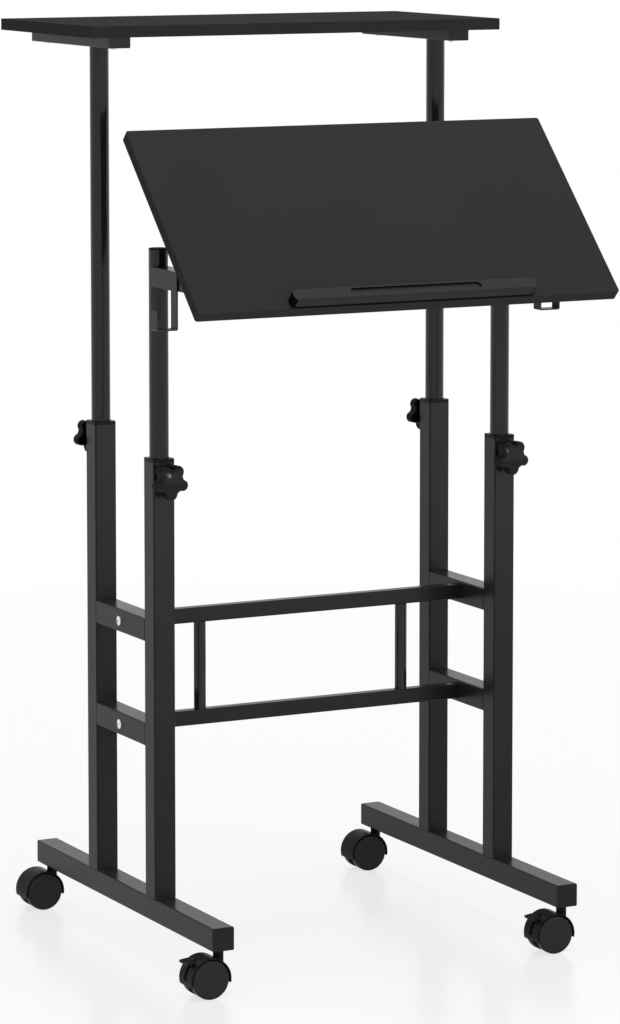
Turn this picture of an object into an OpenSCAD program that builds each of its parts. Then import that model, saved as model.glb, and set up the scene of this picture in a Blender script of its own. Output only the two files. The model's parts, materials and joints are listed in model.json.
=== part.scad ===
// Mobile standing desk: a shelf and a tilting desk board on telescopic posts and four casters.
// The origin is on the floor, under the centre of the whole outline. X is to the right, Y to the back.

/* [Boards] */
// Width of the shelf board and of the desk board
board_w = 600; // [560:5:700]
// Depth of the shelf board and of the desk board
board_d = 300; // [285:5:340]
// Thickness of both boards
board_t = 15; // [12:1:18]
// Radius of the boards' corners
board_r = 3; // [1:0.5:12]

/* [Feet and posts] */
// Distance between the left and right posts, centre to centre
post_span = 500; // [440:5:540]
// Distance between the front and rear posts, centre to centre
post_gap = 180; // [140:5:240]
// Side of the square tube of the feet, posts and rungs
tube_w = 30; // [29:0.5:34]
// Wall of the square tube
tube_wall = 1.5; // [1.2:0.1:1.6]
// Outer corner radius of the square tube
tube_r = 2; // [1.8:0.1:3]
// Length of a foot with its end caps
foot_len = 550; // [460:10:640]
// Thickness of a foot's end cap outside the tube
foot_cap_t = 2.5; // [2:0.5:3]
// Height of the front post tubes
front_post_h = 568; // [520:2:600]
// Height of the rear post tubes
rear_post_h = 595; // [560:1:640]
// Height of the upper rungs' centre above the feet
upper_rung_up = 348; // [300:2:400]
// Height of the lower rungs' centre above the feet
lower_rung_up = 211.5; // [120:0.5:240]

/* [Cross rails] */
// Height of a cross rail
rail_h = 20; // [16:1:28]
// Depth of a cross rail
rail_d = 15; // [12:1:20]
// Length of the threaded block in each rail end
rail_block = 15; // [12:1:25]
// Distance between the two upright bars, centre to centre
bar_span = 300; // [120:10:400]
// Diameter of the upright bars
bar_d = 16; // [8:1:18]
// Diameter of the rail bolts
rail_bolt_d = 6; // [5:0.5:8]
// Diameter of the rail bolts' heads
rail_bolt_head_d = 12.5; // [11:0.5:14]
// Height of the rail bolts' heads
rail_bolt_head_h = 4; // [3:0.5:5]

/* [Telescopic tubes] */
// Diameter of the round slide tubes
slide_d = 25; // [22:0.2:25]
// Wall of the round slide tubes
slide_wall = 1.5; // [1.2:0.1:2]
// Running clearance of a slide tube in its collar, at the radius
slide_gap = 0.1; // [0.05:0.01:0.1]
// Length of the front slide tubes below their collars' tops
front_slide_in = 232; // [150:1:300]
// Length of the rear slide tubes below their collars' tops
rear_slide_in = 98.5; // [80:0.5:140]
// Height of the front slide tubes' top above their collars
front_rise = 268; // [200:0.5:300]
// Height of the shelf brackets' underside above the rear collars
shelf_rise = 491.5; // [360:0.5:520]
// Thickness of a collar's flange
collar_t = 4.5; // [4:0.5:8]
// Depth of a collar's sleeve in the post
collar_depth = 40; // [36:1:60]
// Clearance of the collars and guide plugs in the post tube, on each side
guide_gap = 0.3; // [0.2:0.05:0.4]
// Height of the guide plug below a slide tube
guide_h = 12; // [8:1:12]
// Length of the plugs' spigots in the round tubes
spigot_len = 18; // [10:1:25]
// Thickness of the cap on a front slide tube
cap_t = 1.5; // [1.5:0.5:5]

/* [Clamp knobs] */
// Distance of a knob's axis below the collar's top
knob_drop = 27; // [26:0.5:36]
// Radius of a knob to the tips of its lobes
knob_r = 23.9; // [21:0.1:26]
// Radius of a lobe's end
lobe_r = 7.2; // [6:0.1:8]
// Radius of a knob's core
knob_core_r = 16.1; // [14:0.1:18]
// Thickness of a knob's head at its middle
knob_t = 19; // [15:0.5:20]
// Radius of the dome on a knob's face
knob_dome_r = 70; // [50:1:120]
// Distance from the post's face to the back of the knob's head
knob_stand = 10; // [9:0.5:14]
// Radius of the neck behind a knob's head
knob_neck_r = 8.5; // [7:0.5:10]
// Turn of the lobes about the knob's axis, in degrees
knob_phase = 0; // [0:0.5:72]
// Diameter of the knobs' studs, the caster stems and the tilt bolts
stud_d = 8; // [6:0.5:8]
// Running clearance of a stud, stem or bolt in its hole, at the radius
stud_gap = 0.08; // [0.03:0.01:0.1]
// Width of the hexagon nuts across their flats
nut_af = 13; // [12.5:0.5:14]
// Height of the hexagon nuts
nut_h = 6.5; // [5:0.5:7]

/* [Shelf brackets] */
// Width of a shelf bracket
bracket_w = 30; // [26:1:36]
// Height of a shelf bracket
bracket_h = 15; // [12:1:20]
// Length of a shelf bracket with its caps
bracket_len = 250; // [230:5:275]
// Distance of the shelf's centre behind the rear posts
shelf_back = 60; // [60:1:75]
// Thickness of a bracket's end cap outside the tube
bracket_cap_t = 2; // [1:0.5:3]
// Distance of the bracket screws from the bracket's ends
screw_inset = 20; // [12:1:30]
// Diameter of the board screws
screw_d = 4; // [3:0.5:5]
// Diameter of the board screws' heads
screw_head_d = 8; // [7:0.5:9]
// Height of the board screws' heads
screw_head_h = 2.5; // [2:0.5:3]
// Depth of the board screws in a board
screw_bite = 10; // [6:0.5:11]

/* [Desk arms and tilt] */
// Tilt of the desk board from level, in degrees
desk_tilt = 45; // [0:1:75]
// Width and height of a desk arm
arm_w = 25; // [24:0.5:27]
// Distance of the arm's top below the cap's top on its tube
arm_drop = 23; // [20:1:60]
// Wall of a desk arm
arm_wall = 2; // [1.5:0.5:3]
// Distance of the tilt axis in front of the front posts
pivot_reach = 120; // [116:1:140]
// Distance of the tilt axis below the arms' top
pivot_down = 9; // [7:0.5:12]
// Length of an arm's end in front of the tilt axis
arm_nose = 15; // [10:0.5:17]
// Length of the solid knuckle at an arm's front end
knuckle_len = 46; // [38:1:50]
// Length of the narrow neck behind the knuckle
arm_neck_len = 4.5; // [3:0.5:8]
// Depth of the neck below the arm's faces
arm_neck_in = 3; // [1.5:0.5:4]
// Distance from the desk board's lower edge up to the tilt axis
pivot_from_edge = 93.5; // [90:0.5:130]
// Distance of the tilt axis below the desk board
pivot_below = 37.5; // [34:0.5:50]
// Thickness of the tilt bracket's plate and ears
ear_t = 2.5; // [2:0.5:4]
// Gap between an ear and the arm's side
ear_gap = 0.3; // [0.2:0.05:0.6]
// Radius of the ears round the tilt axis
ear_r = 13; // [10:0.5:16]
// Half width of an ear where it meets the plate
ear_half = 30; // [20:1:34]
// Length of a tilt bracket's plate
plate_len = 160; // [130:5:165]
// Distance from the board's lower edge to a tilt bracket's plate
plate_from_edge = 30; // [20:1:34]
// Height of the tilt bolts' heads
bolt_head_h = 5; // [4:0.5:6]

/* [Ledge] */
// Length of the ledge on the desk board
ledge_len = 346; // [300:2:500]
// Depth of the ledge along the board
ledge_d = 18; // [16:0.5:24]
// Height of the ledge above the board
ledge_h = 17; // [12:0.5:20]
// Radius of the ledge's long edges
ledge_r = 2.5; // [0.8:0.1:3]
// Radius of the ledge's ends, seen from above
ledge_end_r = 7; // [3:0.5:7.5]
// Distance of the ledge from the board's lower edge
ledge_inset = 0.5; // [0:0.5:10]
// Length of the slot in the ledge
slot_len = 186; // [120:2:240]
// Width of the slot in the ledge
slot_w = 11; // [8:0.5:12]
// Depth of the slot in the ledge
slot_depth = 3; // [1.5:0.5:3.5]
// Length of a ledge screw's thread in the ledge
ledge_bite = 8; // [5:0.5:10]
// Distance between the ledge's screws
ledge_screw_step = 150; // [100:5:160]

/* [Side hooks] */
// Thickness of the hook strap
strap_t = 2; // [1.5:0.5:3]
// Distance of the strap's rear end in front of the slide tube's axis
strap_start = 7; // [5:1:10]
// Width of the hook strap where it hangs down
strap_w = 17; // [12:1:20]
// Radius of the strap's upper front corner
strap_r = 5; // [2:0.5:10]
// Depth of the hook below the arm
hook_drop = 49; // [40:1:60]
// Reach of the hook outwards from the strap's outer face
hook_reach = 28; // [22:1:34]
// Height of the hook's turned-up end
hook_lip = 26; // [18:1:34]
// Outer radius of the hook's bends
hook_bend = 2.5; // [2.5:0.5:6]

/* [Casters] */
// Diameter of the wheels
wheel_d = 50; // [48:1:54]
// Width of one wheel
wheel_w = 11.5; // [10:0.5:14]
// Radius of the wheels' outer edges
wheel_edge = 2; // [0.5:0.1:2.5]
// Width of the caster body between the wheels
body_w = 12; // [12:0.5:15]
// Gap between a wheel's side and the body
wheel_gap = 0.5; // [0.3:0.1:1]
// Gap between a wheel's tread and the hood
hood_gap = 1.5; // [1:0.1:2.5]
// Thickness of the hood
hood_t = 1.5; // [1.5:0.1:3]
// Distance of the wheel axle from the swivel axis
caster_trail = 18; // [17:0.5:19]
// Angle that the hood reaches below the axle on its long side, in degrees
hood_low = 16; // [0:1:30]
// Angle that the hood reaches below the axle on the stem's side, in degrees
hood_low_stem = 11; // [0:1:14]
// Height of the foot above the hood's top
foot_over_hood = 7; // [5:0.5:12]
// Distance of a caster's stem from the foot's end
stem_inset = 15; // [14.5:0.5:40]
// Outer diameter of the tower round the stem
tower_d = 13.5; // [13.5:0.5:15]
// Diameter of the wheel axle
axle_d = 6; // [4:0.5:7]
// Running clearance of a wheel on its axle, at the radius
axle_gap = 0.05; // [0.02:0.01:0.1]
// Thickness of a wheel's face over the axle's end
wheel_face = 2.5; // [1.5:0.5:3.5]
// Height of the collar on a caster stem
stem_collar_h = 1.7; // [1:0.1:2.5]
// Running gap between the stem's collar and the caster's tower
swivel_gap = 0.3; // [0.2:0.05:0.5]

/* [Brake pedals] */
// Width of a pedal's pad
pad_w = 24; // [16:1:30]
// Thickness of a pedal's pad
pad_t = 3; // [2:0.5:3.5]
// Length of a pedal's pad
pad_len = 11.5; // [8:0.5:11.5]
// Slope of the pad from level, in degrees
pad_slope = 8; // [5:1:35]
// Thickness of the pedal's lever
lever_w = 4; // [3:0.5:4]
// Gap between the lever and its slot, on each side
lever_gap = 1.2; // [0.2:0.1:1.5]
// Diameter of the pedal's pivot pin
pedal_pin_d = 3; // [2.5:0.1:4]
// Radius of the pedal's pivot eye
pedal_eye_r = 3.2; // [2.8:0.1:3.4]

/* [Hidden] */
$fn = 48;

LEFT = -1;
RIGHT = 1;
FRONT = -1;
REAR = 1;
SIDES = [["left", LEFT], ["right", RIGHT]];
CORNERS = [
    ["front_left", LEFT, FRONT], ["front_right", RIGHT, FRONT],
    ["rear_left", LEFT, REAR], ["rear_right", RIGHT, REAR]
];

// A hair of extra length, so that cuts pass through a face
cut = 1;
// Clearance of fixed pins, plugs and screws in their holes, at the radius
seat_gap = 0.03;
// Clearance of a hole that a stud passes without touching, at the radius
pass_gap = 0.6;
// Outer corner radius of the rails, brackets and arms
bar_r = 1.5;
// Corner radius inside the small tubes and on their plugs
plug_r = 0.5;
// Depth of an end cap's plug in its tube
cap_plug = 5;
// Clearance of an end cap's plug in a bracket, on each side
cap_plug_gap = 0.1;
// Length of thread that stands out of a nut
thread_end = 1;
// Depth and radius of the hexagon socket in a rail bolt
socket_depth = 2;
socket_r = 2.3;
// Space left beyond the end of a screw or bolt
tip_gap = 0.2;
// Slope of a board screw's head, at the radius
screw_taper = 1;
// Least inner radius of the hook's bends
bend_in_r = 0.4;
// Corner radius of the neck in a desk arm
neck_r = 1;
// Corner radius of a tilt bracket's plate
plate_r = 2;
// Radius of a tube cap's top edge
cap_edge = 0.7;
// Parts of the fan that cuts a sector of a circle
fan_parts = 6;
tube_in = tube_w - 2 * tube_wall;
tube_in_r = max(tube_r - tube_wall, 0.3);

// Heights above the floor
wheel_r = wheel_d / 2;
hood_in_r = wheel_r + hood_gap;
hood_r = hood_in_r + hood_t;
foot_z = wheel_r + hood_r + foot_over_hood;
post_z = foot_z + tube_w;
front_collar_z = post_z + front_post_h + collar_t;
rear_collar_z = post_z + rear_post_h + collar_t;
front_tube_top = front_collar_z + front_rise;
front_slide_len = front_rise + front_slide_in;
rear_slide_len = shelf_rise + rear_slide_in;
arm_top_z = front_tube_top + cap_t - arm_drop;
pivot_z = arm_top_z - pivot_down;
bracket_z = rear_collar_z + shelf_rise;
shelf_z = bracket_z + bracket_h;

// The front and back ends of everything, measured from the middle of the feet
shelf_mid = post_gap / 2 + shelf_back;
pivot_mid = -post_gap / 2 - pivot_reach;
board_top = pivot_below + board_t;
ledge_front_low = -pivot_from_edge + ledge_inset;
ledge_edge_y = ledge_front_low + ledge_r;
ledge_edge_z = board_top + ledge_h - ledge_r;
ledge_tip = pivot_mid + ledge_edge_y * cos(desk_tilt) - ledge_edge_z * sin(desk_tilt) - ledge_r;
front_end = min(ledge_tip, -foot_len / 2);
back_end = max(shelf_mid + board_d / 2, foot_len / 2);
base_y = -(front_end + back_end) / 2;

post_x = post_span / 2;
shelf_y = base_y + shelf_mid;
pivot_y = base_y + pivot_mid;
stem_y = foot_len / 2 - stem_inset;
function post_y(row) = base_y + row * post_gap / 2;
function collar_z(row) = row == FRONT ? front_collar_z : rear_collar_z;
function post_h(row) = row == FRONT ? front_post_h : rear_post_h;

slide_r = slide_d / 2;
stud_r = stud_d / 2;
nut_r = nut_af / 2 / cos(30);
screw_r = screw_d / 2;
knob_back = tube_w / 2 + knob_stand;
// Gap between a knob's stud and the slide tube that it clamps
stud_tip_gap = 0.3;
stud_end = slide_r + stud_tip_gap;
// Length of a knob's parts that is sunk in its head
knob_sink = 1;
rail_len = post_span - tube_w;
plate_w = arm_w + 2 * (ear_gap + ear_t);
screw_pitch_x = 16;
plate_screw_inset = 15;
plate_screw_y = plate_len / 2 - plate_screw_inset;
wheel_in = body_w / 2 + wheel_gap;
wheel_out = wheel_in + wheel_w;
tower_top = foot_z - stem_collar_h - swivel_gap;
stem_low = wheel_r + 4;
// Wall of the caster body round the axle
boss_wall = 5;
// Room round the stem's lower end and round the pedal in the caster's body
body_room = 1;
// Gap between an axle's end and the wheel's face
axle_end_gap = 0.3;
// Angles of the hood's slot for the pedal
slot_from = 118;
slot_to = 182;
// The pedal's pivot, measured from the wheel axle
pedal_x = -13;
pedal_z = 10;
// The pad's upper inner corner, measured from the wheel axle
pad_x = -19.5;
pad_z = 25.2;
// Reach of the lever's upper end under the pad
lever_in = 4.5;

// Plain shapes

module rounded_rect(w, h, r) {
    square([w - 2 * r, h], center = true);
    square([w, h - 2 * r], center = true);
    for (x = [-1, 1], y = [-1, 1])
        translate([x * (w / 2 - r), y * (h / 2 - r)])
            circle(r = r);
}

module tube_profile(w, h, wall, r) {
    difference() {
        rounded_rect(w, h, r);
        rounded_rect(w - 2 * wall, h - 2 * wall, max(r - wall, 0.3));
    }
}

// Turns a shape drawn upwards so that it runs towards the back
module along_y() {
    rotate([-90, 0, 0])
        children();
}

// Turns a shape drawn upwards so that it runs to the right
module along_x() {
    rotate([0, 90, 0])
        children();
}

// Puts a shape on the left or the right, mirrored for the left
module on_side(side) {
    mirror([side == LEFT ? 1 : 0, 0, 0])
        children();
}

module hex_nut(bore_r) {
    difference() {
        cylinder(r = nut_r, h = nut_h, $fn = 6);
        translate([0, 0, -cut])
            cylinder(r = bore_r, h = nut_h + 2 * cut);
    }
}

// A screw with its head below z = 0 and its shank going up
module board_screw(len) {
    translate([0, 0, -screw_head_h])
        cylinder(r1 = screw_head_d / 2 - screw_taper, r2 = screw_head_d / 2, h = screw_head_h);
    cylinder(r = screw_r, h = len);
}

// The base frame

module foot(side) {
    len = foot_len - 2 * foot_cap_t;
    color("#2a2a2b")
        difference() {
            translate([side * post_x, base_y - len / 2, foot_z + tube_w / 2])
                along_y()
                    linear_extrude(len)
                        tube_profile(tube_w, tube_w, tube_wall, tube_r);
            for (row = [FRONT, REAR])
                translate([side * post_x, base_y + row * stem_y, foot_z - cut])
                    cylinder(r = stud_r + pass_gap, h = tube_wall + 2 * cut);
        }
}

module foot_end_caps() {
    plug = tube_in - 2 * guide_gap;
    color("#1c1c1d")
        for (side = [LEFT, RIGHT], row = [FRONT, REAR])
            translate([side * post_x, base_y + row * foot_len / 2, foot_z + tube_w / 2])
                rotate([row * 90, 0, 0]) {
                    linear_extrude(foot_cap_t)
                        rounded_rect(tube_w, tube_w, tube_r);
                    linear_extrude(foot_cap_t + cap_plug)
                        rounded_rect(plug, plug, plug_r);
                }
}

// Threaded stems that the casters swivel on, each with a collar under the foot
module caster_stems() {
    color("#b9bcc0")
        for (side = [LEFT, RIGHT], row = [FRONT, REAR])
            translate([side * post_x, base_y + row * stem_y, 0]) {
                translate([0, 0, stem_low])
                    cylinder(r = stud_r, h = foot_z + tube_wall + nut_h + thread_end - stem_low);
                translate([0, 0, foot_z - stem_collar_h])
                    cylinder(r = tower_d / 2, h = stem_collar_h);
            }
}

module post(side, row) {
    h = post_h(row);
    color("#2a2a2b")
        translate([side * post_x, post_y(row), post_z])
            difference() {
                linear_extrude(h)
                    tube_profile(tube_w, tube_w, tube_wall, tube_r);
                translate([0, 0, h + collar_t - knob_drop])
                    rotate([row * -90, 0, 0])
                        cylinder(r = stud_r + pass_gap, h = tube_w);
            }
}

// Plastic collars in the posts' tops, which guide the slide tubes
module post_collars() {
    sleeve = tube_in - 2 * guide_gap;
    color("#161617")
        for (side = [LEFT, RIGHT], row = [FRONT, REAR])
            translate([side * post_x, post_y(row), collar_z(row)])
                difference() {
                    union() {
                        translate([0, 0, -collar_t])
                            linear_extrude(collar_t)
                                rounded_rect(tube_w, tube_w, tube_r);
                        translate([0, 0, -collar_t - collar_depth])
                            linear_extrude(collar_depth)
                                rounded_rect(sleeve, sleeve, plug_r);
                    }
                    translate([0, 0, -collar_t - collar_depth - cut])
                        cylinder(r = slide_r + slide_gap, h = collar_t + collar_depth + 2 * cut);
                    translate([0, 0, -knob_drop])
                        rotate([row * -90, 0, 0])
                            cylinder(r = stud_r + pass_gap, h = tube_w);
                }
}

// Nuts welded on the posts for the knobs, and in the feet for the caster stems
module weld_nuts() {
    color("#a9acb0")
        for (side = [LEFT, RIGHT], row = [FRONT, REAR]) {
            translate([side * post_x, post_y(row) + row * tube_w / 2, collar_z(row) - knob_drop])
                rotate([row * -90, 0, 0])
                    hex_nut(stud_r + stud_gap);
            translate([side * post_x, base_y + row * stem_y, foot_z + tube_wall])
                hex_nut(stud_r + seat_gap);
        }
}

module rung_pair(side) {
    len = post_gap - tube_w;
    color("#2a2a2b")
        for (up = [upper_rung_up, lower_rung_up])
            translate([side * post_x, base_y, post_z + up])
                difference() {
                    translate([0, -len / 2, 0])
                        along_y()
                            linear_extrude(len)
                                tube_profile(tube_w, tube_w, tube_wall, tube_r);
                    translate([-tube_w / 2 - cut, 0, 0])
                        along_x()
                            cylinder(r = rail_bolt_d / 2 + seat_gap, h = tube_w + 2 * cut);
                }
}

module cross_rail(up) {
    color("#2a2a2b")
        translate([-rail_len / 2, base_y, post_z + up])
            along_x()
                difference() {
                    linear_extrude(rail_len)
                        rounded_rect(rail_h, rail_d, bar_r);
                    translate([0, 0, rail_block])
                        linear_extrude(rail_len - 2 * rail_block)
                            rounded_rect(rail_h - 2 * tube_wall, rail_d - 2 * tube_wall, plug_r);
                    for (z = [-cut, rail_len - rail_block + cut])
                        translate([0, 0, z])
                            cylinder(r = rail_bolt_d / 2 + seat_gap, h = rail_block);
                }
}

// Button-head bolts through the rungs into the rail ends
module cross_rail_bolts() {
    shank = tube_w + rail_block - socket_depth;
    color("#c3c6ca")
        for (side = [LEFT, RIGHT], up = [upper_rung_up, lower_rung_up])
            on_side(side)
                translate([post_x + tube_w / 2, base_y, post_z + up])
                    along_x()
                        difference() {
                            union() {
                                translate([0, 0, -shank])
                                    cylinder(r = rail_bolt_d / 2, h = shank);
                                intersection() {
                                    cylinder(r = rail_bolt_head_d / 2, h = rail_bolt_head_h);
                                    translate([0, 0, rail_bolt_head_h - rail_bolt_head_d])
                                        sphere(r = rail_bolt_head_d);
                                }
                            }
                            translate([0, 0, rail_bolt_head_h - socket_depth])
                                cylinder(r = socket_r, h = socket_depth + cut, $fn = 6);
                        }
}

module upright_bars() {
    low = post_z + lower_rung_up + rail_h / 2;
    high = post_z + upper_rung_up - rail_h / 2;
    color("#2a2a2b")
        for (side = [LEFT, RIGHT])
            translate([side * bar_span / 2, base_y, low])
                cylinder(d = bar_d, h = high - low);
}

// The casters: the axle's centre is the origin of their own drawings

module at_axle(side, row) {
    translate([side * post_x - caster_trail, base_y + row * stem_y, wheel_r])
        children();
}

// A wedge of a disc in the caster's side view, from angle a0 to a1
module sector(r, a0, a1) {
    step = (a1 - a0) / fan_parts;
    fan = [for (i = [0 : fan_parts]) 2 * r * [cos(a0 + i * step), sin(a0 + i * step)]];
    intersection() {
        circle(r = r, $fn = 96);
        polygon(concat([[0, 0]], fan));
    }
}

// Extrudes a side view drawn in X and Z to a given width, centred on the wheels' middle plane
module side_view(w) {
    translate([0, w / 2, 0])
        rotate([90, 0, 0])
            linear_extrude(w)
                children();
}

module caster_hood(side, row, braked) {
    stem_top = tower_top - wheel_r;
    color("#1b1b1c")
        at_axle(side, row)
            difference() {
                union() {
                    side_view(2 * wheel_out)
                        difference() {
                            sector(hood_r, -hood_low_stem, 180 + hood_low);
                            circle(r = hood_in_r, $fn = 96);
                        }
                    side_view(body_w) {
                        sector(hood_in_r + hood_t / 2, 0, 180 + hood_low);
                        circle(r = axle_d / 2 + boss_wall);
                    }
                    intersection() {
                        translate([caster_trail, 0, 0])
                            cylinder(d = tower_d, h = stem_top);
                        union() {
                            side_view(body_w)
                                square([2 * hood_r, 2 * foot_z], center = true);
                            side_view(2 * tower_d)
                                difference() {
                                    square([4 * hood_r, 4 * foot_z], center = true);
                                    circle(r = hood_in_r, $fn = 96);
                                }
                        }
                    }
                }
                side_view(body_w + 2 * cut)
                    circle(d = axle_d + 2 * seat_gap);
                translate([caster_trail, 0, stem_low - wheel_r - body_room])
                    cylinder(r = stud_r + stud_gap, h = foot_z);
                if (braked) {
                    side_view(lever_w + 2 * lever_gap)
                        difference() {
                            sector(hood_r + cut, slot_from, slot_to);
                            circle(r = axle_d / 2 + boss_wall + body_room);
                        }
                    side_view(body_w + 2 * cut)
                        translate([pedal_x, pedal_z])
                            circle(d = pedal_pin_d + 2 * stud_gap);
                }
            }
}

module wheel_axle(side, row) {
    half = wheel_out - wheel_face - axle_end_gap;
    color("#b9bcc0")
        at_axle(side, row)
            side_view(2 * half)
                circle(d = axle_d);
}

// One of the two wheels on an axle, in front of the body or behind it
module wheel(side, row, end) {
    bore = axle_d / 2 + axle_gap;
    color("#202021")
        at_axle(side, row)
            rotate([end * -90, 0, 0])
                translate([0, 0, wheel_in])
                    rotate_extrude($fn = 96)
                        difference() {
                            union() {
                                square([wheel_r - wheel_edge, wheel_w]);
                                translate([0, wheel_edge])
                                    square([wheel_r, wheel_w - 2 * wheel_edge]);
                                for (z = [wheel_edge, wheel_w - wheel_edge])
                                    translate([wheel_r - wheel_edge, z])
                                        circle(r = wheel_edge, $fn = 24);
                            }
                            translate([0, -cut])
                                square([bore, wheel_w - wheel_face + cut]);
                        }
}

// Brake lever: a pad outside the hood on an arm that pivots between the wheels
module brake_pedal(side, row) {
    eye_left = [pedal_x - pedal_eye_r * 0.9, pedal_z + pedal_eye_r * 0.4];
    eye_right = [pedal_x + pedal_eye_r * 0.6, pedal_z + pedal_eye_r * 0.8];
    under_right = [pad_x + 0.5, pad_z - 0.8];
    under_left = [pad_x - lever_in, pad_z - lever_in * tan(pad_slope) - pad_t / 2];
    color("#1f1f20")
        at_axle(side, row) {
            side_view(lever_w) {
                translate([pedal_x, pedal_z])
                    circle(r = pedal_eye_r);
                polygon([eye_left, eye_right, under_right, under_left]);
            }
            side_view(pad_w)
                translate([pad_x, pad_z])
                    rotate(pad_slope)
                        translate([-pad_len, -pad_t])
                            square([pad_len, pad_t]);
            side_view(body_w - 2 * lever_gap)
                translate([pedal_x, pedal_z])
                    circle(d = pedal_pin_d);
        }
}

// The clamp knobs: a star-shaped head moulded on a threaded stud

module knob_star() {
    circle(r = knob_core_r);
    for (i = [0 : 4])
        rotate(-90 + knob_phase + i * 72)
            translate([knob_r - lobe_r, 0])
                circle(r = lobe_r, $fn = 32);
}

module clamp_knob(side, row) {
    color("#151516")
        translate([side * post_x, post_y(row), collar_z(row) - knob_drop])
            rotate([row * -90, 0, 0]) {
                intersection() {
                    translate([0, 0, knob_back])
                        linear_extrude(knob_t)
                            knob_star();
                    translate([0, 0, knob_back + knob_t - knob_dome_r])
                        sphere(r = knob_dome_r, $fn = 96);
                }
                translate([0, 0, tube_w / 2 + nut_h + thread_end])
                    cylinder(r = knob_neck_r, h = knob_stand - nut_h - thread_end + knob_sink);
                translate([0, 0, stud_end])
                    cylinder(r = stud_r, h = knob_back - stud_end + knob_sink);
            }
}

// What the slide tubes carry

module slide_tube(side, row, top, len) {
    color("#2d2d2e")
        translate([side * post_x, post_y(row), top - len])
            difference() {
                cylinder(r = slide_r, h = len);
                translate([0, 0, -cut])
                    cylinder(r = slide_r - slide_wall, h = len + 2 * cut);
            }
}

// Square plugs in the lower ends of a pair of slide tubes, which run in the posts
module slide_guides(row, low) {
    plug = tube_in - 2 * guide_gap;
    color("#161617")
        for (side = [LEFT, RIGHT])
            translate([side * post_x, post_y(row), low]) {
                translate([0, 0, -guide_h])
                    linear_extrude(guide_h)
                        rounded_rect(plug, plug, plug_r);
                cylinder(r = slide_r - slide_wall - seat_gap, h = spigot_len);
            }
}

module slide_tube_caps() {
    color("#121213")
        for (side = [LEFT, RIGHT])
            translate([side * post_x, post_y(FRONT), front_tube_top]) {
                rotate_extrude() {
                    square([slide_r - cap_edge, cap_t]);
                    square([slide_r, cap_t - cap_edge]);
                    translate([slide_r - cap_edge, cap_t - cap_edge])
                        circle(r = cap_edge, $fn = 24);
                }
                translate([0, 0, -spigot_len])
                    cylinder(r = slide_r - slide_wall - seat_gap, h = spigot_len + cap_t / 2);
            }
}

module shelf_bracket(side) {
    len = bracket_len - 2 * bracket_cap_t;
    color("#2a2a2b")
        translate([side * post_x, shelf_y, bracket_z])
            difference() {
                translate([0, -len / 2, bracket_h / 2])
                    along_y()
                        linear_extrude(len)
                            tube_profile(bracket_w, bracket_h, tube_wall, bar_r);
                for (y = [-1, 1])
                    translate([0, y * (bracket_len / 2 - screw_inset), -cut])
                        cylinder(r = screw_r + seat_gap, h = bracket_h + 2 * cut);
            }
}

module bracket_end_caps() {
    lost = 2 * (tube_wall + cap_plug_gap);
    color("#1c1c1d")
        for (side = [LEFT, RIGHT], row = [FRONT, REAR])
            translate([side * post_x, shelf_y + row * bracket_len / 2, bracket_z + bracket_h / 2])
                rotate([row * 90, 0, 0]) {
                    linear_extrude(bracket_cap_t)
                        rounded_rect(bracket_w, bracket_h, bar_r);
                    linear_extrude(bracket_cap_t + cap_plug)
                        rounded_rect(bracket_w - lost, bracket_h - lost, plug_r);
                }
}

module shelf_board() {
    color("#262626")
        translate([0, shelf_y, shelf_z])
            difference() {
                linear_extrude(board_t)
                    rounded_rect(board_w, board_d, board_r);
                for (side = [LEFT, RIGHT], y = [-1, 1])
                    translate([side * post_x, y * (bracket_len / 2 - screw_inset), -cut])
                        cylinder(r = screw_r + seat_gap, h = screw_bite + cut + tip_gap);
            }
}

module shelf_screws() {
    color("#c3c6ca")
        for (side = [LEFT, RIGHT], y = [-1, 1])
            translate([side * post_x, shelf_y + y * (bracket_len / 2 - screw_inset), bracket_z])
                board_screw(bracket_h + screw_bite);
}

// A welded arm from a front slide tube to the tilt axis
module desk_arm(side) {
    back = post_y(FRONT) - strap_start;
    nose = pivot_y - arm_nose;
    box_front = nose + knuckle_len + arm_neck_len;
    color("#2a2a2b")
        on_side(side)
            translate([post_x, 0, arm_top_z - arm_w / 2])
                difference() {
                    union() {
                        translate([0, nose, 0])
                            along_y()
                                linear_extrude(knuckle_len)
                                    rounded_rect(arm_w, arm_w, bar_r);
                        translate([0, nose + cut, 0])
                            along_y()
                                linear_extrude(back - nose - 2 * cut)
                                    rounded_rect(arm_w - 2 * arm_neck_in, arm_w - 2 * arm_neck_in, neck_r);
                        translate([0, box_front, 0])
                            along_y()
                                linear_extrude(back - box_front)
                                    rounded_rect(arm_w, arm_w, bar_r);
                    }
                    translate([0, box_front + arm_wall, 0])
                        along_y()
                            linear_extrude(back - box_front - slide_r - 2 * arm_wall)
                                rounded_rect(arm_w - 2 * arm_wall, arm_w - 2 * arm_wall, plug_r);
                    translate([0, post_y(FRONT), -arm_w])
                        cylinder(r = slide_r + seat_gap, h = 2 * arm_w);
                    translate([-arm_w, pivot_y, pivot_z - arm_top_z + arm_w / 2])
                        along_x()
                            cylinder(r = stud_r + stud_gap, h = 2 * arm_w);
                }
}

// The J-shaped end of a hook, seen from the front, with the strap's inner face at x = 0
module hook_j() {
    w = strap_t + hook_reach;
    h = 2 * hook_drop;
    translate([w / 2, 0])
        intersection() {
            difference() {
                rounded_rect(w, h, hook_bend);
                rounded_rect(w - 2 * strap_t, h - 2 * strap_t, max(hook_bend - strap_t, bend_in_r));
            }
            union() {
                translate([-w / 2, -hook_drop])
                    square([strap_t + hook_bend, hook_drop + arm_w / 4]);
                translate([-w / 2, -hook_drop])
                    square([w, hook_lip]);
            }
        }
}

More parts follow.
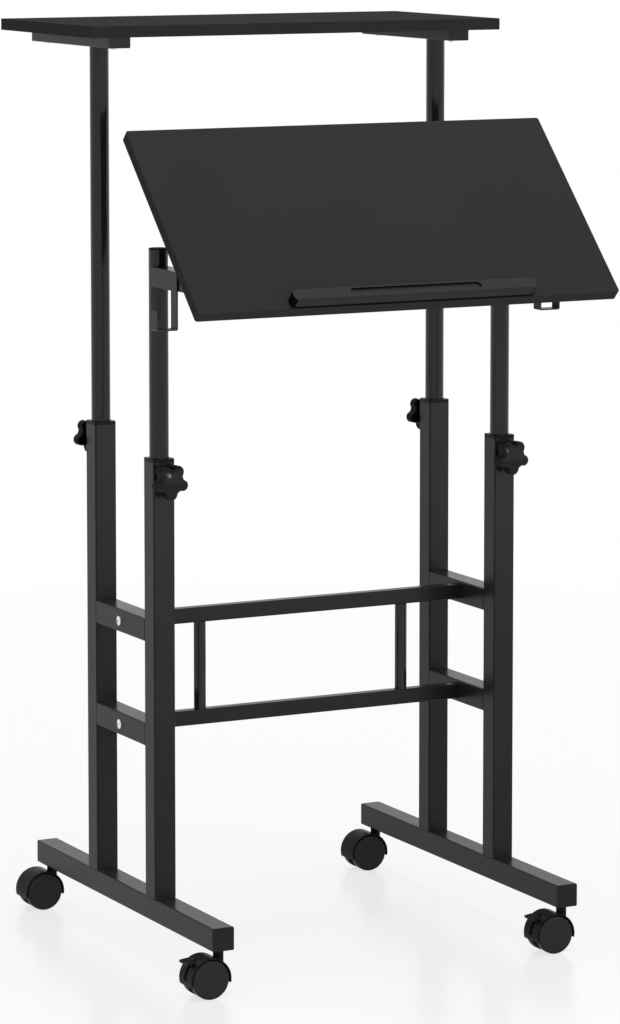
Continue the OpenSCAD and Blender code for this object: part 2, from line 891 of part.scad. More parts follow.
// A flat strap on the arm's outer side, bent at its lower end into a hook
module side_hook(side) {
    back = post_y(FRONT) - strap_start;
    front = pivot_y - arm_nose + knuckle_len + arm_neck_len;
    arm_low = arm_top_z - arm_w;
    color("#2a2a2b")
        on_side(side)
            translate([post_x + arm_w / 2, 0, 0]) {
                difference() {
                    translate([0, front, arm_low])
                        cube([strap_t, back - front, arm_w]);
                    difference() {
                        translate([-cut, front - cut, arm_top_z - strap_r])
                            cube([strap_t + 2 * cut, strap_r + cut, strap_r + cut]);
                        translate([-2 * cut, front + strap_r, arm_top_z - strap_r])
                            along_x()
                                cylinder(r = strap_r, h = strap_t + 4 * cut);
                    }
                }
                translate([0, front + strap_w, arm_low])
                    rotate([90, 0, 0])
                        linear_extrude(strap_w)
                            hook_j();
            }
}

// The tilting desk: the tilt axis is the origin, with the level board above it

module on_desk() {
    translate([0, pivot_y, pivot_z])
        rotate([desk_tilt, 0, 0])
            children();
}

desk_mid = board_d / 2 - pivot_from_edge;
ledge_mid = ledge_front_low + ledge_d / 2;
plate_mid = -pivot_from_edge + plate_from_edge + plate_len / 2;

// Places for the screws between a tilt bracket's plate and the board
module at_plate_screws() {
    for (side = [LEFT, RIGHT], x = [-1, 1], y = [-1, 1])
        translate([side * post_x + x * screw_pitch_x / 2, plate_mid + y * plate_screw_y, 0])
            children();
}

module at_ledge_screws() {
    for (x = [-1, 0, 1])
        translate([x * ledge_screw_step, ledge_mid, 0])
            children();
}

module desk_board() {
    color("#262626")
        on_desk()
            difference() {
                translate([0, desk_mid, pivot_below])
                    linear_extrude(board_t)
                        rounded_rect(board_w, board_d, board_r);
                at_plate_screws()
                    translate([0, 0, pivot_below - cut])
                        cylinder(r = screw_r + seat_gap, h = screw_bite + cut + tip_gap);
                at_ledge_screws()
                    translate([0, 0, pivot_below - cut])
                        cylinder(r = screw_r + seat_gap, h = board_t + 2 * cut);
            }
}

// A moulded stop along the board's lower edge, with rounded ends and a shallow slot for pens
module paper_ledge() {
    color("#1d1d1e")
        on_desk()
            translate([0, ledge_mid, board_top])
                difference() {
                    intersection() {
                        translate([-ledge_len / 2 - cut, 0, ledge_h / 2])
                            along_x()
                                linear_extrude(ledge_len + 2 * cut)
                                    rounded_rect(ledge_h, ledge_d, ledge_r);
                        translate([0, 0, -cut])
                            linear_extrude(ledge_h + 2 * cut)
                                rounded_rect(ledge_len, ledge_d, ledge_end_r);
                    }
                    translate([0, 0, ledge_h - slot_depth])
                        linear_extrude(slot_depth + cut)
                            rounded_rect(slot_len, slot_w, slot_w / 2 - seat_gap);
                    for (x = [-1, 0, 1])
                        translate([x * ledge_screw_step, 0, -cut])
                            cylinder(r = screw_r + seat_gap, h = cut + ledge_bite + tip_gap);
                }
}

// A bent bracket under the board, whose two ears straddle the arm's knuckle
module tilt_bracket(side) {
    ear_x = arm_w / 2 + ear_gap;
    root = pivot_below - ear_t / 2;
    ear = [[-ear_half, root], [ear_half, root], [ear_r, 0], [-ear_r, 0]];
    color("#2a2a2b")
        on_desk()
            difference() {
                translate([side * post_x, 0, 0])
                    union() {
                        translate([0, plate_mid, pivot_below - ear_t])
                            linear_extrude(ear_t)
                                rounded_rect(plate_w, plate_len, plate_r);
                        for (x = [-ear_x - ear_t, ear_x])
                            translate([x, 0, 0])
                                difference() {
                                    rotate([90, 0, 90])
                                        linear_extrude(ear_t) {
                                            circle(r = ear_r);
                                            polygon(ear);
                                        }
                                    translate([-cut, 0, 0])
                                        along_x()
                                            cylinder(r = stud_r + stud_gap, h = ear_t + 2 * cut);
                                }
                    }
                at_plate_screws()
                    translate([0, 0, pivot_below - ear_t - cut])
                        cylinder(r = screw_r + seat_gap, h = ear_t + 2 * cut);
            }
}

module desk_screws() {
    color("#c3c6ca")
        on_desk() {
            at_plate_screws()
                translate([0, 0, pivot_below - ear_t])
                    board_screw(ear_t + screw_bite);
            at_ledge_screws()
                translate([0, 0, pivot_below])
                    board_screw(board_t + ledge_bite);
        }
}

// A bolt and its nut through each pair of ears, on which the desk tilts
module tilt_bolts() {
    face = arm_w / 2 + ear_gap + ear_t;
    bolt_end = face + nut_h + thread_end;
    color("#b9bcc0")
        for (side = [LEFT, RIGHT])
            on_side(side)
                translate([post_x, pivot_y, pivot_z]) {
                    translate([-bolt_end, 0, 0])
                        along_x()
                            cylinder(r = stud_r, h = bolt_end + face + bolt_head_h / 2);
                    translate([face, 0, 0])
                        along_x()
                            cylinder(r = nut_af / 2, h = bolt_head_h);
                    translate([-face - nut_h, 0, 0])
                        along_x()
                            hex_nut(stud_r + seat_gap);
                }
}

for (s = SIDES) {
    foot(s[1]);
    rung_pair(s[1]);
    shelf_bracket(s[1]);
    desk_arm(s[1]);
    side_hook(s[1]);
    tilt_bracket(s[1]);
    brake_pedal(s[1], FRONT);
    slide_tube(s[1], FRONT, front_tube_top, front_slide_len);
    slide_tube(s[1], REAR, bracket_z, rear_slide_len);
}
for (c = CORNERS) {
    post(c[1], c[2]);
    caster_hood(c[1], c[2], c[2] == FRONT);
    wheel_axle(c[1], c[2]);
    wheel(c[1], c[2], FRONT);
    wheel(c[1], c[2], REAR);
    clamp_knob(c[1], c[2]);
}
foot_end_caps();
caster_stems();
post_collars();
weld_nuts();
cross_rail(upper_rung_up);  // upper_cross_rail
cross_rail(lower_rung_up);  // lower_cross_rail
cross_rail_bolts();
upright_bars();
slide_guides(REAR, bracket_z - rear_slide_len);  // rear_slide_guides
bracket_end_caps();
shelf_board();
shelf_screws();
slide_guides(FRONT, front_tube_top - front_slide_len);  // front_slide_guides
slide_tube_caps();
desk_board();
paper_ledge();
desk_screws();
tilt_bolts();
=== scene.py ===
"""Looks of the mobile standing desk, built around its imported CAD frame. Metres, +Z up."""
import json
import math

import bmesh
import bpy
from mathutils import Matrix, Vector


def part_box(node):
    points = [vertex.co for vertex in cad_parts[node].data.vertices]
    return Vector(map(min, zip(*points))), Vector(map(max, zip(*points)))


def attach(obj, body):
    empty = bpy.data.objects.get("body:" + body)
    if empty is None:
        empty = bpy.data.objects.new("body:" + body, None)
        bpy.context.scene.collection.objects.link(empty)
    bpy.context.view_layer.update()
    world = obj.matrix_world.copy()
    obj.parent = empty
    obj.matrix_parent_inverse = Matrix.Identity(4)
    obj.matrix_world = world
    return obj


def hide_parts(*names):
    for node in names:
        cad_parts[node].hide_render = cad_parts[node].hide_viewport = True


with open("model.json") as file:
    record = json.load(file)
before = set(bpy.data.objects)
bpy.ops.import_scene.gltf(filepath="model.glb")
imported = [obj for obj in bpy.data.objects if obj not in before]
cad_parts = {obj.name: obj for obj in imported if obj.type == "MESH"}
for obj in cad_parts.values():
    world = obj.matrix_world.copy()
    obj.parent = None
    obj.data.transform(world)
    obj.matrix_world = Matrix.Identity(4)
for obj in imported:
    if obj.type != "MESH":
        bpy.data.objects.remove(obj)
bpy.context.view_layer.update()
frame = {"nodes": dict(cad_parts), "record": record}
NODES = frame["nodes"]
SUBPARTS = frame["record"]["subparts"]
SCENE = bpy.context.scene
MM = 0.001
FULL_TURN = 2.0 * math.pi
WHITE = (1.0, 1.0, 1.0, 1.0)

# At rest the desk board slopes at 45 degrees: the way up along it, and the way that its top faces.
SLOPE = math.sqrt(0.5)
UP_SLOPE = Vector((0.0, SLOPE, SLOPE))
FACING = Vector((0.0, -SLOPE, SLOPE))


# Materials

class Graph:
    """A material's node tree, with short calls to add and join nodes."""

    NOISE_LOW = 0.3     # below this a noise gives its low value, above NOISE_HIGH its high one
    NOISE_HIGH = 0.7

    def __init__(self, name):
        self.material = bpy.data.materials.new(name)
        self.material.use_nodes = True
        self.tree = self.material.node_tree
        self.tree.nodes.clear()
        self.place = self.add("ShaderNodeTexCoord").outputs["Object"]

    def add(self, kind, inputs=None, **settings):
        node = self.tree.nodes.new(kind)
        for key, value in settings.items():
            setattr(node, key, value)
        for key, value in (inputs or {}).items():
            if isinstance(value, bpy.types.NodeSocket):
                self.tree.links.new(value, node.inputs[key])
            else:
                node.inputs[key].default_value = value
        return node

    def stretch(self, scale):
        """The object's coordinates, scaled along x, y and z."""
        node = self.add("ShaderNodeMapping", {"Vector": self.place, "Scale": scale})
        return node.outputs["Vector"]

    def noise(self, scale, detail=2.0, rough=0.5, place=None):
        node = self.add("ShaderNodeTexNoise", {"Vector": place or self.place, "Scale": scale,
                                               "Detail": detail, "Roughness": rough})
        return node.outputs["Fac"]

    def ramp(self, value, low, high, start=NOISE_LOW, end=NOISE_HIGH):
        """A number that runs from low to high while the value runs from start to end."""
        node = self.add("ShaderNodeMapRange", {"Value": value, "From Min": start, "From Max": end,
                                               "To Min": low, "To Max": high})
        return node.outputs["Result"]

    def mix(self, value, dark, pale):
        """A colour between dark and pale, by the value."""
        node = self.add("ShaderNodeValToRGB", {"Fac": value})
        stops = ((self.NOISE_LOW, dark), (self.NOISE_HIGH, pale))
        for element, (place, colour) in zip(node.color_ramp.elements, stops):
            element.position = place
            element.color = (*colour, 1.0)
        return node.outputs["Color"]

    def greys(self, value, dark, pale):
        return self.mix(value, (dark, dark, dark), (pale, pale, pale))

    def bump(self, height, strength, distance):
        node = self.add("ShaderNodeBump", {"Height": height, "Strength": strength,
                                           "Distance": distance})
        return node.outputs["Normal"]

    def finish(self, colour, rough, normal, **fixed):
        """The finished material; fixed gives sockets that are the same all over the surface."""
        inputs = {"Base Color": colour, "Roughness": rough, "Normal": normal}
        inputs.update({key.replace("_", " "): value for key, value in fixed.items()})
        shader = self.add("ShaderNodeBsdfPrincipled", inputs)
        self.add("ShaderNodeOutputMaterial", {"Surface": shader.outputs["BSDF"]})
        return self.material


def powder_coat():
    """Black satin powder coat on steel: an orange-peel skin with a slightly uneven sheen."""
    g = Graph("powder_coat_black")
    peel = g.noise(scale=900.0, detail=2.0)
    cloud = g.noise(scale=7.0, detail=3.0)
    return g.finish(colour=g.greys(cloud, dark=0.0130, pale=0.0170),
                    rough=g.ramp(cloud, low=0.25, high=0.30),
                    normal=g.bump(peel, strength=0.06, distance=0.0002),
                    Specular_IOR_Level=0.115)


def slide_tube_coat():
    """Glossy black coat on the round tubes and bars, with faint drawn streaks along them."""
    g = Graph("slide_tube_black")
    streak = g.noise(scale=1.0, detail=3.0, place=g.stretch((900.0, 900.0, 12.0)))
    peel = g.noise(scale=1100.0, detail=2.0)
    return g.finish(colour=g.greys(streak, dark=0.0115, pale=0.0135),
                    rough=g.ramp(streak, low=0.09, high=0.13),
                    normal=g.bump(peel, strength=0.05, distance=0.00015),
                    Specular_IOR_Level=0.31)


def laminate():
    """Matt black melamine on the boards, with a fine pearl grain."""
    g = Graph("laminate_black")
    pearl = g.noise(scale=1500.0, detail=2.0)
    cloud = g.noise(scale=5.0, detail=3.0)
    return g.finish(colour=g.greys(cloud, dark=0.0325, pale=0.0350),
                    rough=g.ramp(pearl, low=0.62, high=0.74),
                    normal=g.bump(pearl, strength=0.08, distance=0.0002),
                    Specular_IOR_Level=0.0)


def edge_band():
    """Matt black edge band on the boards' four sides, with faint lines along it."""
    g = Graph("edge_band_black")
    lines = g.noise(scale=1.0, detail=3.0, place=g.stretch((30.0, 30.0, 1200.0)))
    fine = g.noise(scale=1400.0, detail=2.0)
    return g.finish(colour=g.greys(lines, dark=0.0345, pale=0.0380),
                    rough=g.ramp(fine, low=0.60, high=0.72),
                    normal=g.bump(fine, strength=0.08, distance=0.0002),
                    Specular_IOR_Level=0.0)


def cap_plastic():
    """Satin black plastic of the end caps on feet and brackets, close to the coat's own sheen."""
    g = Graph("cap_black")
    grain = g.noise(scale=1300.0, detail=3.0)
    cloud = g.noise(scale=20.0, detail=2.0)
    return g.finish(colour=g.greys(cloud, dark=0.0120, pale=0.0160),
                    rough=g.ramp(grain, low=0.30, high=0.38),
                    normal=g.bump(grain, strength=0.06, distance=0.0002),
                    Specular_IOR_Level=0.09)


def collar_plastic():
    """Deep black plastic of the posts' collars and the guides, with an eroded grain."""
    g = Graph("collar_black")
    grain = g.noise(scale=1300.0, detail=3.0)
    return g.finish(colour=g.greys(grain, dark=0.0080, pale=0.0120),
                    rough=g.ramp(grain, low=0.28, high=0.36),
                    normal=g.bump(grain, strength=0.08, distance=0.0002),
                    Specular_IOR_Level=0.04)


def caster_plastic():
    """Black moulded nylon of the caster bodies and the pedals, with faint flow marks."""
    g = Graph("caster_black")
    flow = g.noise(scale=90.0, detail=3.0)
    grain = g.noise(scale=1300.0, detail=3.0)
    return g.finish(colour=g.greys(flow, dark=0.0145, pale=0.0185),
                    rough=g.ramp(flow, low=0.22, high=0.30),
                    normal=g.bump(grain, strength=0.06, distance=0.0002),
                    Specular_IOR_Level=0.025)


def knob_plastic():
    """Polished black plastic of the star knobs, with faint sink and flow marks."""
    g = Graph("knob_black")
    flow = g.noise(scale=60.0, detail=3.0)
    fine = g.noise(scale=1600.0, detail=2.0)
    return g.finish(colour=g.greys(flow, dark=0.0215, pale=0.0245),
                    rough=g.ramp(flow, low=0.11, high=0.14),
                    normal=g.bump(fine, strength=0.03, distance=0.0001),
                    Specular_IOR_Level=0.05)


def knob_side():
    """The knobs' side walls and hollow back: matt, and painted darker than the face as painted
    shade.
    """
    g = Graph("knob_side_painted_shade")
    grain = g.noise(scale=1400.0, detail=3.0)
    return g.finish(colour=g.greys(grain, dark=0.0060, pale=0.0095),
                    rough=g.ramp(grain, low=0.40, high=0.50),
                    normal=g.bump(grain, strength=0.08, distance=0.0002),
                    Specular_IOR_Level=0.02)


def wheel_nylon():
    """Black nylon wheels, a little scuffed around the tread."""
    g = Graph("wheel_black")
    scuff = g.noise(scale=240.0, detail=4.0, rough=0.6)
    fine = g.noise(scale=1400.0, detail=2.0)
    return g.finish(colour=g.greys(scuff, dark=0.0305, pale=0.0350),
                    rough=g.ramp(scuff, low=0.30, high=0.38),
                    normal=g.bump(fine, strength=0.05, distance=0.0002),
                    Specular_IOR_Level=0.04)


def ledge_black():
    """Black moulded ledge with a fine spark-eroded grain."""
    g = Graph("ledge_black")
    grain = g.noise(scale=1300.0, detail=3.0)
    cloud = g.noise(scale=30.0, detail=2.0)
    return g.finish(colour=g.greys(cloud, dark=0.0430, pale=0.0470),
                    rough=g.ramp(grain, low=0.50, high=0.62),
                    normal=g.bump(grain, strength=0.08, distance=0.0002),
                    Specular_IOR_Level=0.0)


def soft_black_and_shade():
    """Near-black soft material: black rubber on the tube caps and the rings on the arms, and
    painted shade on the ledge's ends, in its slot and on the band along its foot.
    """
    g = Graph("rubber_black_and_painted_shade")
    grain = g.noise(scale=1500.0, detail=3.0)
    return g.finish(colour=g.greys(grain, dark=0.0030, pale=0.0055),
                    rough=g.ramp(grain, low=0.60, high=0.75),
                    normal=g.bump(grain, strength=0.10, distance=0.0002),
                    Specular_IOR_Level=0.02)


def zinc():
    """Zinc-plated steel of the bolts, nuts, axles and studs."""
    g = Graph("zinc_steel")
    spangle = g.noise(scale=500.0, detail=3.0)
    return g.finish(colour=g.mix(spangle, dark=(0.70, 0.70, 0.69), pale=(0.84, 0.84, 0.83)),
                    rough=g.ramp(spangle, low=0.20, high=0.32),
                    normal=g.bump(spangle, strength=0.08, distance=0.0001),
                    Metallic=1.0)


MATERIALS = {
    "frame_steel": powder_coat(),
    "slide_steel": slide_tube_coat(),
    "board": laminate(),
    "black_plastic": caster_plastic(),
    "ledge_black": ledge_black(),
    "wheel_black": wheel_nylon(),
    "zinc": zinc(),
}
CAP = cap_plastic()
COLLAR = collar_plastic()
KNOB = knob_plastic()
KNOB_SIDE_SHADE = knob_side()
EDGE_BAND = edge_band()
RUBBER_AND_SHADE = soft_black_and_shade()

# Nodes that look unlike the rest of their material slot.
OWN_LOOK = {
    "upright_bars": MATERIALS["slide_steel"],
    "foot_end_caps": CAP,
    "bracket_end_caps": CAP,
    "post_collars": COLLAR,
    "slide_tube_caps": RUBBER_AND_SHADE,
    "front_slide_guides": COLLAR,
    "rear_slide_guides": COLLAR,
}
BOARD_FACING = {"shelf_board": Vector((0.0, 0.0, 1.0)), "desk_board": FACING}
BROAD_SIDE = 0.5    # least cosine between a broad face's normal and the board's own


def dress(thing, *materials):
    """Gives an object these materials and no others."""
    thing.data.materials.clear()
    for material in materials:
        thing.data.materials.append(material)


for part in SUBPARTS:
    name = part["node"]
    dress(NODES[name], OWN_LOOK.get(name, MATERIALS[part["material_slot"]]))
for board, up in BOARD_FACING.items():
    dress(NODES[board], MATERIALS["board"], EDGE_BAND)
    for face in NODES[board].data.polygons:
        face.material_index = 0 if abs(face.normal.dot(up)) > BROAD_SIDE else 1


# Pieces. Their rings are in millimetres, in a frame of their own, until they are placed.

SHARP_ANGLE = math.radians(38.0)


def new_piece(name, shape, body, slot, *materials):
    """A mesh piece in the row frame that rides on a body."""
    mesh = bpy.data.meshes.new(name)
    bmesh.ops.recalc_face_normals(shape, faces=shape.faces)
    shape.to_mesh(mesh)
    shape.free()
    for polygon in mesh.polygons:
        polygon.use_smooth = True
    mesh.set_sharp_from_angle(angle=SHARP_ANGLE)
    piece = bpy.data.objects.new(name, mesh)
    SCENE.collection.objects.link(piece)
    dress(piece, *materials)
    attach(piece, body)
    return piece


def skin(shape, rings, closed=(True, True), endless=False, material=0):
    """Faces between rings of equally many points; the first and last are closed where asked."""
    loops = [[shape.verts.new(point) for point in ring] for ring in rings]
    count = len(loops[0])
    if endless:
        closed = (False, False)
        loops.append(loops[0])
    for low, high in zip(loops, loops[1:]):
        for i in range(count):
            j = (i + 1) % count
            shape.faces.new((low[i], low[j], high[j], high[i])).material_index = material
    for wanted, loop in zip(closed, (loops[0], loops[-1])):
        if wanted:
            middle = shape.verts.new(sum((v.co for v in loop), Vector()) / count)
            for i in range(count):
                corners = (loop[i], loop[(i + 1) % count], middle)
                shape.faces.new(corners).material_index = material


def placed(rings, matrix):
    return [[matrix @ (Vector(point) * MM) for point in ring] for ring in rings]


# A star knob, in millimetres. Heights run outward along its axis from the post's face.
KNOB_R = 23.9           # axis to a lobe's tip
LOBE_R = 7.2
CORE_R = 16.1           # axis to the waist between two lobes
DOME_R = 70.0           # of the crowned face
KNOB_T = 19.0
KNOB_STAND = 10.0       # the back rim's height
LOBES = 5
LOBE_POINTS = 36        # outline points per lobe
SOFTEN = math.radians(3.2)      # how far the outline's inner corners are blurred
BLUR_STEP = math.radians(1.0)
BLUR_STEPS = 12         # to each side
FACE_EDGE = 3.0         # radius between face and side
# The face's rings: shares of the way from its middle to where the edge's rounding starts.
FACE_SHARES = (0.08, 0.22, 0.38, 0.54, 0.70, 0.85, 1.0)
EDGE_STEPS = 7
# The side and the rim's inner wall: height over the back rim, and inset from the outline.
WALL = ((9.0, 0.15), (3.0, 0.3), (0.8, 0.35), (0.25, 0.6),
        (0.0, 1.1), (0.0, 2.1), (0.3, 2.5), (10.0, 2.9))
# The boss inside the hollow back: radius, and height over the back rim.
BOSS = ((7.4, 10.4), (7.0, 9.6), (6.6, 0.6), (6.2, 0.0), (3.2, 0.0))
# Faces less outward than this take the knob's side material: matt, and darker as painted shade.
UNSHADED_FACING = 0.35         # least outward part of a polished face's normal

# The knob's stud. A turn of its thread is heights from its start, with depths below the crest.
STUD_R = 3.0
STUD_TIP = 0.3          # clear of the CAD stud's end
STUD_TOP = KNOB_STAND + 12.0
STUD_POINTS = 32
PITCH = 1.0
THREAD = ((0.0, 0.45), (0.35, 0.0), (0.55, 0.0), (0.9, 0.45))


def star_radius(angle):
    """Axis to outline before softening; a lobe points along angle 0."""
    turn = FULL_TURN / LOBES
    off = (angle + turn / 2.0) % turn - turn / 2.0
    centre = KNOB_R - LOBE_R
    reach = LOBE_R ** 2 - (centre * math.sin(off)) ** 2
    if reach <= 0.0:
        return CORE_R
    return max(CORE_R, centre * math.cos(off) + math.sqrt(reach))


def star_outline():
    """The softened outline of a knob's star, with its outward normals."""
    count = LOBES * LOBE_POINTS
    offsets = [k * BLUR_STEP for k in range(-BLUR_STEPS, BLUR_STEPS + 1)]
    weights = [math.exp(-0.5 * (offset / SOFTEN) ** 2) for offset in offsets]
    points = []
    for i in range(count):
        angle = FULL_TURN * i / count
        total = sum(w * star_radius(angle + offset) for w, offset in zip(weights, offsets))
        radius = total / sum(weights)
        points.append(Vector((radius * math.cos(angle), radius * math.sin(angle))))
    normals = []
    for i in range(count):
        along = points[(i + 1) % count] - points[i - 1]
        normals.append(Vector((along.y, -along.x)).normalized())
    return points, normals


def knob_rings():
    """Rings of a knob's head, from its face's middle round the edge and into its hollow back."""
    points, normals = star_outline()

    def inset(depth):
        return [p - n * depth for p, n in zip(points, normals)]

    def on_face(flat, drop=0.0):
        top = KNOB_STAND + KNOB_T - drop
        return [(p.x, p.y, top - p.length_squared / (2.0 * DOME_R)) for p in flat]

    inner = inset(FACE_EDGE)
    rings = [on_face([p * share for p in inner]) for share in FACE_SHARES]
    for step in range(1, EDGE_STEPS + 1):
        turn = math.radians(90.0 * step / EDGE_STEPS)
        rings.append(on_face(inset(FACE_EDGE * (1.0 - math.sin(turn))),
                             drop=FACE_EDGE * (1.0 - math.cos(turn))))
    for height, depth in WALL:
        rings.append([(p.x, p.y, KNOB_STAND + height) for p in inset(depth)])
    for radius, height in BOSS:
        rings.append([(radius * p.x / p.length, radius * p.y / p.length, KNOB_STAND + height)
                      for p in points])
    return rings


def stud_rings(start, end):
    """A threaded stud: crests and roots a pitch apart."""
    steps = []
    height = start
    while height < end:
        steps += [(STUD_R - depth, height + part) for part, depth in THREAD
                  if height + part <= end]
        height += PITCH
    angles = [FULL_TURN * i / STUD_POINTS for i in range(STUD_POINTS)]
    return [[(r * math.cos(a), r * math.sin(a), z) for a in angles] for r, z in steps]


def make_knob(corner):
    """A star knob whose axis, face and lowest lobe lie where its CAD node has them."""
    node = corner + "_knob"
    low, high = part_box(node)
    front = corner.startswith("front")
    out = -1.0 if front else 1.0
    apex = low.y if front else high.y
    stud_end = high.y if front else low.y
    foot = apex - out * (KNOB_STAND + KNOB_T) * MM
    stud_start = (stud_end - foot) / MM * out
    place = Matrix(((0.0, 1.0, 0.0, (low.x + high.x) / 2.0),
                    (0.0, 0.0, out, foot),
                    (-1.0, 0.0, 0.0, low.z + KNOB_R * MM),
                    (0.0, 0.0, 0.0, 1.0)))
    shape = bmesh.new()
    skin(shape, placed(knob_rings(), place), closed=(True, False))
    skin(shape, placed(stud_rings(stud_start + STUD_TIP, STUD_TOP), place), material=1)
    piece = new_piece(corner + "_star_knob", shape, corner + "_clamp", "black_plastic",
                      KNOB, MATERIALS["zinc"], KNOB_SIDE_SHADE)
    # The side walls and hollow back take the darker side material: painted shade.
    for polygon in piece.data.polygons:
        if polygon.material_index == 0 and polygon.normal.y * out < UNSHADED_FACING:
            polygon.material_index = 2
    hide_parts(node)


for corner in ("front_left", "front_right", "rear_left", "rear_right"):
    make_knob(corner)


# Near-black bands: a soft black ring round each arm's neck, and a painted-shade band round the
# ledge's foot for the shadow line under it. An outline is width, depth and corner radius; a
# section is offsets out of the outline and heights.
CORNER_STEPS = 8
LEAST_R = 0.2
ARM_OUTLINE = (25.0, 25.0, 1.5)
NECK_LEN = 4.5
PLAY = 0.05             # left free at each end of the neck
# The band's half section: depth below the arm's face, and height from the band's end.
RING_SIDE = ((3.0, 0.0), (0.5, 0.0), (0.5 / 3, 0.5 / 3), (0.0, 0.5))
LEDGE_OUTLINE = (346.0, 18.0, 7.0)
LEDGE_H = 17.0
# The ledge's foot band is near-black and paints the shadow line under the ledge.
SHADOW_BAND_SECTION = ((-0.8, 0.02), (0.05, 0.02), (0.3, 0.3), (0.3, 3.2), (0.05, 3.6), (-0.8, 3.6))
# Faces that these two pick take the near-black material as painted shade: the slot's walls and the
# ledge's rounded ends.
SLOT_FACING = -0.9      # a slot wall's normal along UP_SLOPE, at most
END_FACING = 0.3        # a rounded end's normal along x, at least


def rounded_ring(width, depth, radius, offset, height):
    """A rounded rectangle's outline, moved outward by an offset, at a height."""
    radius = max(radius + offset, LEAST_R)
    ring = []
    for corner, (sx, sy) in enumerate(((1, 1), (-1, 1), (-1, -1), (1, -1))):
        for step in range(CORNER_STEPS + 1):
            turn = math.radians(90.0 * (corner + step / CORNER_STEPS))
            ring.append((sx * (width / 2.0 + offset - radius) + radius * math.cos(turn),
                         sy * (depth / 2.0 + offset - radius) + radius * math.sin(turn),
                         height))
    return ring


def make_band(name, outline, section, place, body):
    """A near-black band that follows a rounded outline: a rubber ring, or painted shade along the
    ledge's foot.
    """
    shape = bmesh.new()
    rings = [rounded_ring(*outline, offset, height) for offset, height in section]
    skin(shape, placed(rings, place), endless=True)
    new_piece(name, shape, body, "black_plastic", RUBBER_AND_SHADE)


ring_section = ([(-depth, height + PLAY - NECK_LEN) for depth, height in RING_SIDE]
                + [(-depth, -height - PLAY) for depth, height in reversed(RING_SIDE)])
for side in ("left", "right"):
    low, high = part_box(side + "_desk_arm")
    hook_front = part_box(side + "_side_hook")[0].y
    place = Matrix(((1.0, 0.0, 0.0, (low.x + high.x) / 2.0),
                    (0.0, 0.0, 1.0, hook_front),
                    (0.0, 1.0, 0.0, (low.z + high.z) / 2.0),
                    (0.0, 0.0, 0.0, 1.0)))
    make_band(side + "_arm_ring", ARM_OUTLINE, ring_section, place, "desk_lift")

low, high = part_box("paper_ledge")
ledge_foot = (low + high) / 2.0 - FACING * (LEDGE_H / 2.0 * MM)
place = Matrix(((1.0, 0.0, 0.0, ledge_foot.x),
                (0.0, UP_SLOPE.y, FACING.y, ledge_foot.y),
                (0.0, UP_SLOPE.z, FACING.z, ledge_foot.z),
                (0.0, 0.0, 0.0, 1.0)))
make_band("ledge_shadow_band", LEDGE_OUTLINE, SHADOW_BAND_SECTION, place, "desk_tilt")

# The slot's walls and the ledge's ends take the near-black material as painted shade.
dress(NODES["paper_ledge"], MATERIALS["ledge_black"], RUBBER_AND_SHADE)
for face in NODES["paper_ledge"].data.polygons:
    upper = (face.center - ledge_foot).dot(UP_SLOPE) > 0.0
    in_slot = upper and face.normal.dot(UP_SLOPE) < SLOT_FACING
    face.material_index = 1 if in_slot or abs(face.normal.x) > END_FACING else 0


# Floor, world, lamps and camera

FLOOR_COLOUR = (0.90, 0.90, 0.90, 1.0)
FLOOR_SHEEN = 0.10
FLOOR_ROUGH = 0.22
SENSOR = 36.0
PHOTO_HEIGHT = 1024.0


def seen_directly(tree):
    """1 for camera, glossy and transmission rays, 0 for the diffuse rays that light the object."""
    path = tree.nodes.new("ShaderNodeLightPath")
    total = path.outputs["Is Camera Ray"]
    for name in ("Is Glossy Ray", "Is Transmission Ray"):
        add = tree.nodes.new("ShaderNodeMath")
        add.operation = "ADD"
        add.use_clamp = True
        tree.links.new(total, add.inputs[0])
        tree.links.new(path.outputs[name], add.inputs[1])
        total = add.outputs[0]
    return total


def make_world(ambient):
    """A world that is seen as white and gives the object soft light of the ambient strength."""
    world = bpy.data.worlds.new("studio")
    SCENE.world = world
    world.use_nodes = True
    tree = world.node_tree
    tree.nodes.clear()
    level = tree.nodes.new("ShaderNodeMapRange")
    level.inputs["To Min"].default_value = ambient
    level.inputs["To Max"].default_value = 1.0
    tree.links.new(seen_directly(tree), level.inputs["Value"])
    back = tree.nodes.new("ShaderNodeBackground")
    back.inputs["Color"].default_value = WHITE
    tree.links.new(level.outputs["Result"], back.inputs["Strength"])
    out = tree.nodes.new("ShaderNodeOutputWorld")
    tree.links.new(back.outputs[0], out.inputs["Surface"])


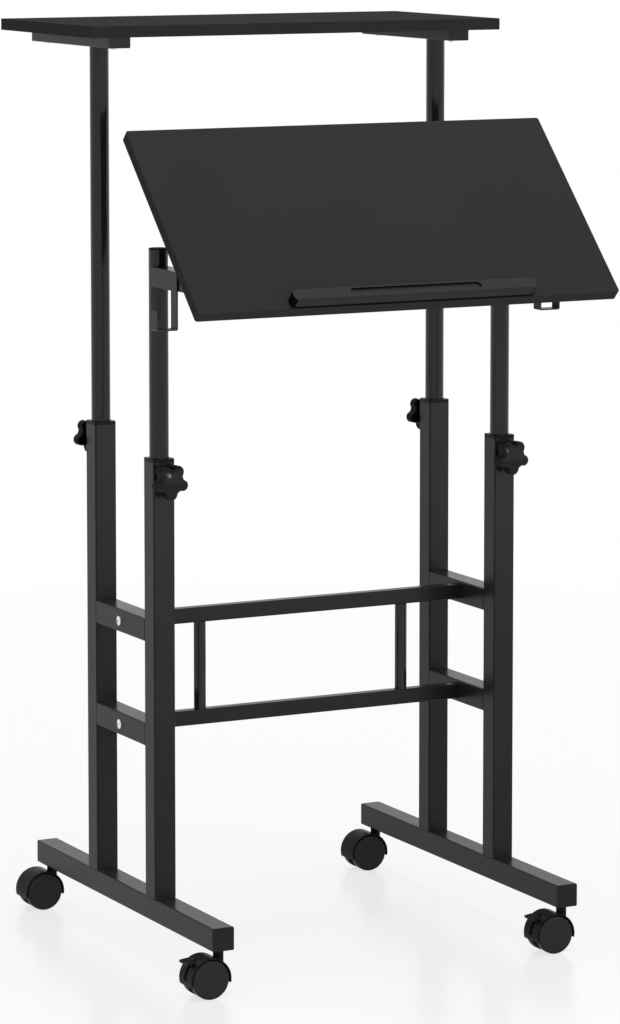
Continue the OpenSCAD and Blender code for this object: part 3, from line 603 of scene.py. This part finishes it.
def make_floor(radius, near, far, keep):
    """A pale round floor that turns plain white from near to far. Up to near it keeps that share
    of its own shading, and so the object's shadow."""
    mesh = bpy.data.meshes.new("floor")
    shape = bmesh.new()
    bmesh.ops.create_circle(shape, cap_ends=True, segments=96, radius=radius)
    shape.to_mesh(mesh)
    shape.free()
    floor = bpy.data.objects.new("floor", mesh)
    SCENE.collection.objects.link(floor)
    g = Graph("floor_pale")
    away = g.add("ShaderNodeVectorMath", {0: g.place}, operation="LENGTH").outputs["Value"]
    shade = g.ramp(away, low=keep, high=0.0, start=near, end=far)
    white = g.ramp(shade, low=1.0, high=0.0, start=0.0, end=1.0)
    seen = g.add("ShaderNodeMath", {0: seen_directly(g.tree), 1: white}, operation="MULTIPLY")
    diffuse = g.add("ShaderNodeBsdfDiffuse", {"Color": FLOOR_COLOUR})
    glow = g.add("ShaderNodeEmission", {"Color": WHITE, "Strength": 1.0})
    both = g.add("ShaderNodeMixShader",
                 {0: seen.outputs[0], 1: diffuse.outputs[0], 2: glow.outputs[0]})
    gloss = g.add("ShaderNodeBsdfGlossy", {"Color": WHITE, "Roughness": FLOOR_ROUGH})
    sheen = g.ramp(away, low=FLOOR_SHEEN, high=0.0, start=near, end=far)
    surface = g.add("ShaderNodeMixShader", {0: sheen, 1: both.outputs[0], 2: gloss.outputs[0]})
    g.add("ShaderNodeOutputMaterial", {"Surface": surface.outputs[0]})
    mesh.materials.append(g.material)


def make_lamp(name, place, aim, size, watts, height=0.0, sheen_only=False):
    """A round soft lamp, or an oblong one where a height is given."""
    lamp = bpy.data.lights.new(name, "AREA")
    lamp.shape = "RECTANGLE" if height else "DISK"
    lamp.size = size
    lamp.size_y = height or size
    lamp.energy = watts
    thing = bpy.data.objects.new(name, lamp)
    thing.location = place
    thing.rotation_euler = (Vector(aim) - Vector(place)).to_track_quat("-Z", "Y").to_euler()
    thing.visible_diffuse = not sheen_only
    thing.visible_camera = False
    SCENE.collection.objects.link(thing)
    return thing


def keep_off(lamp, things):
    """Keeps a lamp's light off some objects, by light linking."""
    group = bpy.data.collections.new(lamp.name + "_spares")
    for thing in things:
        group.objects.link(thing)
    lamp.light_linking.receiver_collection = group
    for entry in group.collection_objects:
        entry.light_linking.link_state = "EXCLUDE"


def make_camera(place, yaw, pitch, focal, shift):
    """The photograph's camera. Its place is in millimetres and its focal length in pixels of the
    photograph's height; yaw runs from +Y towards +X and pitch downward, in degrees."""
    data = bpy.data.cameras.new("camera")
    data.sensor_fit = "AUTO"
    data.sensor_width = SENSOR
    data.lens = focal * SENSOR / PHOTO_HEIGHT
    data.shift_y = shift
    data.clip_end = 200.0
    camera = bpy.data.objects.new("camera", data)
    camera.location = [c * MM for c in place]
    camera.rotation_euler = (math.radians(90.0 - pitch), 0.0, math.radians(-yaw))
    SCENE.collection.objects.link(camera)
    SCENE.camera = camera


make_world(ambient=0.50)
make_floor(radius=80.0, near=1.0, far=3.0, keep=0.19)
make_lamp("top", (0.0, -0.3, 4.2), aim=(0.0, 0.0, 0.6), size=2.6, watts=92.0)
make_lamp("front", (0.66, -3.9, 1.25), aim=(0.0, 0.0, 0.65), size=0.22, watts=5.0)
# The card brightens the flat steel, and the spark gives the knobs their highlight.
card = make_lamp("card", (1.36, -2.68, 0.5), aim=(0.0, 0.0, 0.5), size=3.0, height=1.8,
                 watts=38.0, sheen_only=True)
spark = make_lamp("spark", (0.85, -3.9, 1.02), aim=(0.0, 0.0, 0.8), size=0.30, watts=24.0,
                  sheen_only=True)
slide_tubes = [NODES[part["node"]] for part in SUBPARTS if part["material_slot"] == "slide_steel"]
for lamp in (card, spark):
    keep_off(lamp, slide_tubes)
make_camera(place=(-2568.8, -5035.6, 1436.7), yaw=27.0886, pitch=6.059, focal=4314.8, shift=-0.2)
SCENE.view_settings.view_transform = "Standard"
